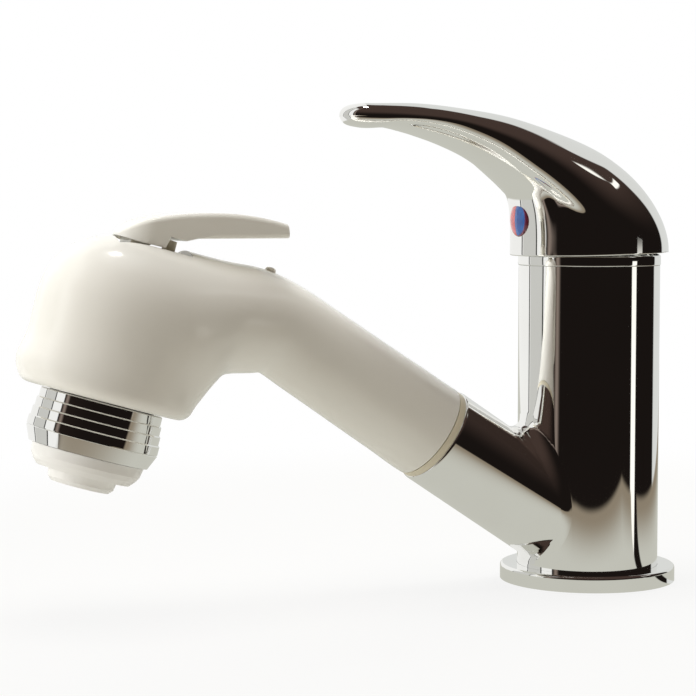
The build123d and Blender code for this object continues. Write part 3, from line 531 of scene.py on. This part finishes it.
# %% Finish a piece
def add_piece(name, work, slot, body, replaced, sharp=35):
    """Turn a bmesh in millimetres into a finished piece that rides on a body of the frame."""
    bmesh.ops.scale(work, vec=(MM, MM, MM), verts=work.verts)
    mesh = bpy.data.meshes.new(name)
    work.to_mesh(mesh)
    work.free()
    mesh.shade_smooth()
    mesh.set_sharp_from_angle(angle=math.radians(sharp))
    mesh.materials.append(paints[slot])
    piece = bpy.data.objects.new(name, mesh)
    scene.collection.objects.link(piece)
    if body:
        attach(piece, body)
    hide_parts(*replaced)
    print(name, len(mesh.polygons), "faces")
    return piece


# %% [markdown]
# A cast shape follows a few smooth lines. Here a line is a function through some points, much
# like a batten that a boat builder bends past a row of pegs. A curve object would draw the same
# line, but a function can be asked for its height at any place.

# %% Smooth lines
def curve_through(*points):
    """Smooth function through (place, value) points: a cubic whose slopes follow the neighbours."""
    places = [p for p, _ in points]
    values = [v for _, v in points]
    last = len(points) - 1

    def slope(i):
        before, after = max(i - 1, 0), min(i + 1, last)
        return (values[after] - values[before]) / (places[after] - places[before])

    def value(place):
        k = 0
        while k < last - 1 and places[k + 1] < place:
            k += 1
        width = places[k + 1] - places[k]
        t = min(max((place - places[k]) / width, 0.0), 1.0)
        start = (2 * t**3 - 3 * t**2 + 1) * values[k] + (t**3 - 2 * t**2 + t) * width * slope(k)
        end = (3 * t**2 - 2 * t**3) * values[k + 1] + (t**3 - t**2) * width * slope(k + 1)
        return start + end

    return value


# %% [markdown]
# A grid is laid over the lines. It starts flat, and each of its points is moved to where its
# column and row belong. Several grids are welded into one shell where their edges meet.

# %% Grids
def shaped_grid(columns, rows, place):
    """Grid whose every point is put where place(column, row) says."""
    work = bmesh.new()
    bmesh.ops.create_grid(work, x_segments=columns - 1, y_segments=rows - 1, size=1.0)
    for v in work.verts:
        column = round((v.co.x + 1) / 2 * (columns - 1))
        row = round((v.co.y + 1) / 2 * (rows - 1))
        v.co = place(column, row)
    return work


def joined(*works):
    """Weld several bmeshes into one."""
    whole = bmesh.new()
    for work in works:
        part = bpy.data.meshes.new("part")
        work.to_mesh(part)
        work.free()
        whole.from_mesh(part)
        bpy.data.meshes.remove(part)
    bmesh.ops.remove_doubles(whole, verts=whole.verts, dist=0.01)
    return whole


# %% [markdown]
# The handle is one casting: a round skirt over the cartridge, an arched leaf that runs forward
# from it, and a neck that flows from the front of the skirt into the underside of the leaf. A
# sculptor would pull this shape out of clay. Here three grids are laid over it: the arched
# crown, the low wall at the back of the skirt, and the front with the neck and the underside.
# They meet on the same lines, so welding their doubles closes the shell. Seen from above, the
# outline is the round skirt, two straight sides and a round tip.

# %% Outline of the handle
skirt_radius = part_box("handle")[1][0] / MM
tip_x = -86.0
tip_radius = 9.0
tip_centre = tip_x + tip_radius
side_sine = (skirt_radius - tip_radius) / -tip_centre
side_cosine = math.sqrt(1 - side_sine**2)
side_x = -skirt_radius * side_sine
side_y = skirt_radius * side_cosine
tip_side_x = tip_centre - tip_radius * side_sine


def leaf_half(x):
    """Half width of the handle, seen from above."""
    if x > side_x:
        return math.sqrt(max(skirt_radius**2 - x * x, 0))
    if x < tip_side_x:
        return math.sqrt(max(tip_radius**2 - (x - tip_centre) ** 2, 0))
    share = (x - side_x) / (tip_side_x - side_x)
    return side_cosine * (skirt_radius + share * (tip_radius - skirt_radius))


print("sides run from x", round(side_x, 2), "to", round(tip_side_x, 2), "mm")

# %% [markdown]
# Seen from the side, four lines give the form: the crest along the middle of the back, the
# shoulder where the arch meets the side, the edge of the underside, and the rim of the skirt.

# %% Side lines of the handle
rim_height = 104.7
rim_slope = math.tan(math.radians(1.5))

crest = curve_through(
    (-77.0, 151.0), (-61.0, 151.2), (-46.5, 149.9), (-32.6, 147.9), (-19.5, 144.5), (-6.0, 140.0),
    (3.0, 135.6), (11.5, 129.4), (18.5, 121.4), (23.2, 112.6), (25.3, 106.6),
)
shoulder = curve_through(
    (-86.0, 147.2), (-77.0, 147.1), (-67.7, 146.8), (-56.5, 145.8), (-46.5, 143.4), (-32.6, 137.6),
    (-19.5, 129.2), (-6.0, 117.2), (8.0, 108.6), (25.3, 105.45),
)
under_edge = curve_through(
    (-86.0, 147.1), (-77.0, 146.8), (-67.7, 146.4), (-56.5, 145.2), (-45.1, 142.2), (-37.6, 139.4),
    (-29.9, 135.5), (-22.1, 130.5), (-15.5, 125.0), (-10.3, 119.3), (-5.0, 111.6),
)


def rim(x):
    """Height of the skirt's rim, which rises a little toward the back."""
    return rim_height + rim_slope * x


print("crest over the axis", round(crest(0.0), 1), "mm")

# %% [markdown]
# The crown's columns stand round the outline of the handle, and each climbs the side and then
# runs over to the spine. Over the tip the arch is fuller than half an ellipse, which gives the
# rounded, bulb-like end.

# %% Columns round the outline
cap_steps = 18
leaf_steps = 90
back_steps = 72
side_columns = cap_steps + leaf_steps + back_steps


def leaf_x(k):
    """X of the k-th column between the tip and the side of the skirt."""
    if k <= cap_steps:
        share = k / cap_steps
        return tip_centre - tip_radius * (math.cos(math.pi / 2 * share) + side_sine * share**8)
    share = (k - cap_steps) / leaf_steps
    return tip_side_x + (side_x - tip_side_x) * share


def outline_point(k):
    """Point of the outline and the place of its spine, from the tip round one side to the back."""
    if k <= cap_steps + leaf_steps:
        x = leaf_x(k)
        if x <= tip_side_x:
            return x, leaf_half(x), tip_centre
        share = (x - side_x) / (tip_side_x - side_x)
        return x, leaf_half(x), share * tip_centre
    share = (k - cap_steps - leaf_steps) / back_steps
    angle = math.atan2(side_y, side_x) * (1 - share)
    return skirt_radius * math.cos(angle), skirt_radius * math.sin(angle), 0.0


print("columns on one side", side_columns)

# %% Arch of the crown
bulb_start = -60.0
bulb_length = 15.0
low_share = (under_edge(side_x) - rim(side_x)) / (shoulder(side_x) - rim(side_x))


def crest_height(x):
    """Crest of the crown; over the tip it curves down in a full, rounded end."""
    if x >= tip_centre:
        return crest(x)
    reach = min((tip_centre - x) / tip_radius, 1.0)
    return shoulder(x) + (crest(tip_centre) - shoulder(x)) * (1 - reach**3) ** 0.5


def foot_height(x):
    """Lower line of the crown: the edge of the underside, then down the back of the skirt."""
    if x <= side_x:
        return under_edge(x)
    return rim(x) + (shoulder(x) - rim(x)) * low_share


def arch_height(x, y):
    half = max(leaf_half(x), 1e-6)
    fullness = 2.0 + 1.2 * min(max((bulb_start - x) / bulb_length, 0.0), 1.0)
    out = min(abs(y) / half, 1.0)
    return shoulder(x) + (crest_height(x) - shoulder(x)) * max(1 - out**fullness, 0.0) ** 0.5


# %% Crown grid
wall_steps = 3
arch_steps = 30


def crown_point(column, row):
    side = 1 if column <= side_columns else -1
    k = column if column <= side_columns else 2 * side_columns - column
    x, y, spine = outline_point(k)
    if row <= wall_steps:
        share = row / wall_steps
        z = foot_height(x) + (shoulder(x) - foot_height(x)) * share
        return Vector((x, side * y, z))
    inward = math.cos(math.pi / 2 * (row - wall_steps) / arch_steps)
    px = spine + (x - spine) * inward
    py = y * inward
    return Vector((px, side * py, arch_height(px, py)))


crown = shaped_grid(2 * side_columns + 1, wall_steps + arch_steps + 1, crown_point)
print("crown", len(crown.faces), "faces")

# %% [markdown]
# Behind the leaf, the skirt goes straight down to its rim. This wall takes the crown's own
# columns round the back, so the two share their points where they meet.

# %% Back wall of the skirt
low_steps = 8


def back_point(column, row):
    k = cap_steps + leaf_steps + min(column, 2 * back_steps - column)
    side = 1 if column <= back_steps else -1
    x, y, _ = outline_point(k)
    share = row / low_steps
    return Vector((x, side * y, rim(x) + (foot_height(x) - rim(x)) * share))


back_wall = shaped_grid(2 * back_steps + 1, low_steps + 1, back_point)
print("back wall", len(back_wall.faces), "faces")

# %% [markdown]
# The front is swept out by rays from one point in the hollow under the leaf. Seen from there,
# the front line of the neck is a distance for each angle, and so are its half width and how far
# it stands out of the surface behind it.

# %% Lines of the neck
hollow_x = -75.0
hollow_z = rim(hollow_x)


def polar(x, z):
    """Angle and distance of a point of the XZ plane, seen from the hollow under the leaf."""
    return math.atan2(z - hollow_z, x - hollow_x), math.hypot(x - hollow_x, z - hollow_z)


keel_points = (
    (-22.0, 100.0), (-22.0, 106.0), (-22.0, 112.0), (-23.2, 118.0), (-26.2, 122.6), (-30.2, 126.4),
    (-35.0, 130.2), (-41.8, 134.4), (-49.9, 138.0), (-58.5, 141.0), (-64.0, 142.9), (-70.0, 143.9),
    (-77.0, 143.5), (-83.0, 144.2), (-85.2, 145.4), (-86.0, 147.1),
)
keel = curve_through(*[polar(x, z) for x, z in keel_points])
neck_half = curve_through(
    (0.0, 14.0), (0.30, 14.0), (0.46, 13.4), (0.64, 12.2), (0.84, 10.8), (1.15, 9.2), (1.4, 8.0),
    (1.85, 7.2),
)
neck_depth = curve_through(
    (0.0, 7.0), (0.26, 7.5), (0.46, 8.5), (0.64, 7.8), (0.84, 6.4), (1.15, 4.6), (1.4, 3.2),
    (1.85, 2.6),
)
lip_depth = curve_through(
    (0.12, 3.0), (0.16, 4.6), (0.2, 5.4), (0.5, 5.4), (0.8, 3.4), (1.15, 1.8), (1.85, 0.4),
)
print("neck half width at the skirt", neck_half(0.3), "mm")

# %% [markdown]
# Every ray meets three surfaces: the skirt's cylinder, the underside of the leaf, which lies a
# lip's depth inside its edge, and the rounded neck. The nearest one is the surface of the
# casting. A soft minimum blends the neck into the others with a fillet, as a founder's pattern
# would, and keeps the line between the skirt and the underside almost crisp.

# %% Distances along a ray
neck_fillet = 6.0
edge_fillet = 0.7
beyond_all = 1000.0


def soft_min(a, b, blend):
    near = max(blend - abs(a - b), 0.0) / blend
    return min(a, b) - near * near * blend / 4


def neck_distance(angle, y):
    half = neck_half(angle)
    depth = neck_depth(angle)
    out = abs(y) / half
    if out < 1:
        return keel(angle) + depth * (1 - math.sqrt(1 - out * out))
    return keel(angle) + depth + (abs(y) - half) * 4


def skirt_distance(angle, y):
    wall = -math.sqrt(max(skirt_radius**2 - y * y, 0.0))
    return (wall - hollow_x) / max(math.cos(angle), 0.02)


def under_distance(edge_distance, angle, out):
    """Distance of the underside: its edge is at edge_distance, and out is 1 there."""
    return edge_distance - lip_depth(angle) * (1 - out**14)


def tip_distance(edge_distance, angle, out):
    """Distance of the full, round underside of the tip."""
    return edge_distance - (edge_distance - keel(angle)) * max(1 - out**2.6, 0.0) ** 0.5


# %% Front grid
across_steps = 120
bulb_under_start = -62.0
bulb_under_length = 12.0


def edge_of_row(row):
    """Place and height of the edge where a row of the front starts and ends."""
    if row <= low_steps:
        share = row / low_steps
        return side_x, rim(side_x) + (under_edge(side_x) - rim(side_x)) * share
    x_edge = leaf_x(cap_steps + leaf_steps - (row - low_steps))
    return x_edge, under_edge(x_edge)


def front_point(column, row):
    x_edge, z_edge = edge_of_row(row)
    half = leaf_half(x_edge)
    y = half * math.sin(math.pi / 2 * (2 * column / across_steps - 1))
    if column in (0, across_steps):
        return Vector((x_edge, y, z_edge))
    angle, edge_distance = polar(x_edge, z_edge)
    out = abs(y) / max(half, 1e-6)
    under = under_distance(edge_distance, angle, out) if row > low_steps else beyond_all
    open_wall = soft_min(skirt_distance(angle, y), under, edge_fillet)
    reach = soft_min(neck_distance(angle, y), open_wall, neck_fillet)
    bulb = min(max((bulb_under_start - x_edge) / bulb_under_length, 0.0), 1.0)
    if bulb > 0:
        bulb = bulb * bulb * (3 - 2 * bulb)
        reach = reach * (1 - bulb) + tip_distance(edge_distance, angle, out) * bulb
    return Vector((hollow_x + reach * math.cos(angle), y, hollow_z + reach * math.sin(angle)))


front = shaped_grid(across_steps + 1, low_steps + leaf_steps + cap_steps + 1, front_point)
print("front", len(front.faces), "faces")

# %% [markdown]
# A few rounds of smoothing take out the small waves that the blends leave, as a polisher would.
# The points on the edge stay, so that the three grids still meet.

# %% Smooth the front
polish_rounds = 10
inner_points = [v for v in front.verts if not v.is_boundary]
for _ in range(polish_rounds):
    bmesh.ops.smooth_vert(
        front, verts=inner_points, factor=0.5, use_axis_x=True, use_axis_y=True, use_axis_z=True,
    )
print("smoothed points", len(inner_points))

# %% [markdown]
# The outside is welded from its three grids. The rim gets its thickness by pulling its edge
# inward, the hollow over the cartridge by pulling that edge up, and a face closes the roof. A
# small bevel along the rim catches a line of light, as polished castings do.

# %% Weld the handle and give it its inside
skirt_inner = skirt_radius - 2.0
roof_height = 112.6

handle_shell = joined(crown, back_wall, front)
bmesh.ops.recalc_face_normals(handle_shell, faces=handle_shell.faces)
rim_edges = [e for e in handle_shell.edges if e.is_boundary]
print("rim edges", len(rim_edges))


def pulled(work, edges, move):
    """Extrude an edge loop and put its new points where move() says."""
    made = bmesh.ops.extrude_edge_only(work, edges=edges)["geom"]
    for v in made:
        if isinstance(v, bmesh.types.BMVert):
            v.co = move(v.co)
    return [e for e in made if isinstance(e, bmesh.types.BMEdge)]


def onto_inner_wall(co):
    flat = Vector((co.x, co.y, 0)).normalized() * skirt_inner
    return Vector((flat.x, flat.y, rim(flat.x)))


inner_edges = pulled(handle_shell, rim_edges, onto_inner_wall)
roof_edges = pulled(handle_shell, inner_edges, lambda co: Vector((co.x, co.y, roof_height)))
bmesh.ops.holes_fill(handle_shell, edges=roof_edges, sides=0)
bmesh.ops.bevel(
    handle_shell, geom=rim_edges, offset=0.45, segments=4, profile=0.5, affect="EDGES", material=-1,
)
bmesh.ops.recalc_face_normals(handle_shell, faces=handle_shell.faces)
add_piece("handle_casting", handle_shell, "chrome", "handle", ["handle"], sharp=50)

# %% [markdown]
# Turned pieces start as half of their section: a line of points out from the axis. Each corner
# that a tool or a mould would leave round gets a small arc, and a full spin makes the solid.

# %% Turned pieces
def rounded_line(corners, arc_steps=5):
    """Section through (radius, height, rounding) corners, with arcs where the rounding isn't 0."""
    line = []
    for i, (r, z, rounding) in enumerate(corners):
        here = Vector((r, z))
        if rounding == 0 or i in (0, len(corners) - 1):
            line.append(here)
            continue
        before = (Vector(corners[i - 1][:2]) - here).normalized() * rounding + here
        after = (Vector(corners[i + 1][:2]) - here).normalized() * rounding + here
        for k in range(arc_steps + 1):
            t = k / arc_steps
            line.append(before * (1 - t) ** 2 + here * (2 * t * (1 - t)) + after * t * t)
    return line


def turned(corners, steps=128):
    """Spin a section about the Z axis into a closed solid."""
    work = bmesh.new()
    points = [work.verts.new((p.x, 0, p.y)) for p in rounded_line(corners)]
    edges = [work.edges.new(pair) for pair in zip(points, points[1:])]
    bmesh.ops.spin(
        work, geom=points + edges, cent=(0, 0, 0), axis=(0, 0, 1), dvec=(0, 0, 0),
        angle=math.tau, steps=steps, use_merge=True, use_duplicate=False,
    )
    bmesh.ops.remove_doubles(work, verts=work.verts, dist=0.001)
    bmesh.ops.recalc_face_normals(work, faces=work.faces)
    return work


# %% [markdown]
# The dome collar is the chromed cap that hides the cartridge nut. Its two edges are rounded, so
# each shows a thin bright line above and below a dark band. Its skirt goes down inside the
# barrel, and the handle's stem comes up through the hole in its crown.

# %% Dome collar
collar_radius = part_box("dome_collar")[1][0] / MM
collar_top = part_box("dome_collar")[1][2] / MM
seat_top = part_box("tap_body")[1][2] / MM
collar_plug = 21.2
collar_inside = 20.0
collar_foot = 99.6
collar_edge = 104.3
collar_ceiling = 103.2
stem_hole = 11.2
stem_hole_low = 106.0
collar = turned([
    (collar_plug, collar_foot, 0), (collar_plug, seat_top, 0), (collar_radius, seat_top, 0.45),
    (collar_radius, collar_edge, 0.6), (12.6, collar_top, 0.5), (stem_hole, collar_top, 0),
    (stem_hole, stem_hole_low, 0), (collar_inside, collar_ceiling, 0),
    (collar_inside, collar_foot, 0), (collar_plug, collar_foot, 0),
])
add_piece("dome_cap", collar, "chrome", "body", ["dome_collar"])

# %% [markdown]
# The index button is a cast dome in two halves, blue for cold and red for hot, set into the
# front of the handle. A turned dome is laid on its side and cut in two along the middle plane
# of the tap. Its plug is a plain disc behind the two halves.

# %% Pieces that face forward
def facing_forward(section, back):
    """Turned piece whose axis points to the front of the handle, at the height of the button."""
    work = turned(section, 72)
    lay_down = Matrix.Rotation(math.radians(-90), 3, "Y")
    bmesh.ops.rotate(work, cent=(0, 0, 0), matrix=lay_down, verts=work.verts)
    bmesh.ops.translate(work, vec=(-back, 0, button_height), verts=work.verts)
    return work


# %% Index halves
button_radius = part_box("index_cold")[1][2] / MM - button_height
button_face = 26.9
button_depth = 2.2
half_gap = 0.03


def half_dome(keep_side):
    """One half of the dome, on the side of +y for 1 or -y for -1."""
    work = facing_forward([
        (0, -0.1, 0), (button_radius, -0.1, 0), (button_radius, 1.1, 0.6), (3.4, 2.0, 1.6),
        (0, button_depth, 0),
    ], button_face - button_depth)
    made = bmesh.ops.bisect_plane(
        work, geom=work.verts[:] + work.edges[:] + work.faces[:],
        plane_co=(0, keep_side * half_gap, 0), plane_no=(0, keep_side, 0), clear_inner=True,
    )
    cut_edges = [e for e in made["geom_cut"] if isinstance(e, bmesh.types.BMEdge)]
    bmesh.ops.holes_fill(work, edges=cut_edges, sides=0)
    bmesh.ops.recalc_face_normals(work, faces=work.faces)
    return work


cold_side = -1 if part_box("index_cold")[0][1] < -1 * MM else 1
add_piece("index_blue", half_dome(cold_side), "blue_mark", "handle", ["index_cold"])
add_piece("index_red", half_dome(-cold_side), "red_mark", "handle", ["index_hot"])

# %% Plug behind the halves
plug_radius = 5.0
plug_back = 23.2
plug_front = 24.8
plug_depth = plug_front - plug_back
plug_section = [(0, 0, 0), (plug_radius, 0, 0), (plug_radius, plug_depth, 0), (0, plug_depth, 0)]
plug = facing_forward(plug_section, plug_back)
add_piece("index_base", plug, "plug_plastic", "handle", ["index_plug"])

# %% [markdown]
# The spray hose comes up through the base, bends and follows the arm. When the hand spray is
# pulled out, more hose follows it from under the worktop. Here the straight part of the tube
# lies on the line of the arm. Its middle line is two straight runs, joined by one arc.

# %% Line of the hose
hose_low, hose_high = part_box("spray_hose")
hose_radius = hose_high[1] / MM
hose_x = hose_high[0] / MM - hose_radius
hose_foot = Vector((hose_x, 0, hose_low[2] / MM))
hose_end_x = hose_low[0] / MM + hose_radius * math.sin(arm_slant)
bend_turn = math.pi / 2 - arm_slant
bend_radius = 27.0
bend_reach = bend_radius * math.tan(bend_turn / 2)
corner = Vector((hose_x, 0, arm_height / MM - hose_x * math.tan(arm_slant)))
bend_start = corner - up * bend_reach
bend_end = corner + arm_way * bend_reach
hose_end = Vector((hose_end_x, 0, arm_height / MM - hose_end_x * math.tan(arm_slant)))
print("hose bends from height", round(bend_start.z, 1), "to", round(bend_end.z, 1), "mm")

# %% Tube of the hose
riser_rows, bend_rows, run_rows = 3, 20, 40
hose_columns = 64
ahead = Vector((1, 0, 0))
sideways = Vector((0, 1, 0))


def hose_frame(row):
    """Centre of the hose at a row and the direction that points away from the bend's centre."""
    if row <= riser_rows:
        return hose_foot.lerp(bend_start, row / riser_rows), ahead
    if row <= riser_rows + bend_rows:
        angle = bend_turn * (row - riser_rows) / bend_rows
        outward = Vector((math.cos(angle), 0, math.sin(angle)))
        return bend_start + (outward - ahead) * bend_radius, outward
    share = (row - riser_rows - bend_rows) / run_rows
    return bend_end.lerp(hose_end, share), arm_over


def hose_point(column, row):
    centre, outward = hose_frame(row)
    angle = math.tau * column / hose_columns
    return centre + (outward * math.cos(angle) + sideways * math.sin(angle)) * hose_radius


tube = shaped_grid(hose_columns + 1, riser_rows + bend_rows + run_rows + 1, hose_point)
bmesh.ops.remove_doubles(tube, verts=tube.verts, dist=0.001)
bmesh.ops.holes_fill(tube, edges=[e for e in tube.edges if e.is_boundary], sides=0)
bmesh.ops.recalc_face_normals(tube, faces=tube.faces)
braided_hose = add_piece("braided_hose", tube, "hose_braid", None, ["spray_hose"])
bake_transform(braided_hose)

# %% [markdown]
# The return spring holds the plunger up, and pressing the spray lever squeezes it. A helix
# could be swept anew, but the frame's own coil is already right, so a merged copy of it is made.
# The share of its height that would stay with the plunger down is worked out, but the copy isn't
# flattened here.

# %% Return spring
head_lean = math.radians(16.03)
head_up = Vector((math.sin(head_lean), 0, math.cos(head_lean)))
plunger_travel = 2.4

spring_node = nodes["return_spring"]
coil = bmesh.new()
coil.from_mesh(spring_node.data)
to_mm = Matrix.Scale(1 / MM, 4) @ spring_node.matrix_world
bmesh.ops.transform(coil, matrix=to_mm, verts=coil.verts)
bmesh.ops.remove_doubles(coil, verts=coil.verts, dist=0.001)
heights = [v.co.dot(head_up) for v in coil.verts]
spring_foot = head_up * min(heights)
spring_height = max(heights) - min(heights)
squeezed = (spring_height - plunger_travel) / spring_height
coil_spring = add_piece("coil_spring", coil, "steel", "handset", ["return_spring"])
spring_foot * MM
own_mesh(coil_spring)
print("spring height", round(spring_height, 2), "keeps", round(squeezed, 3))
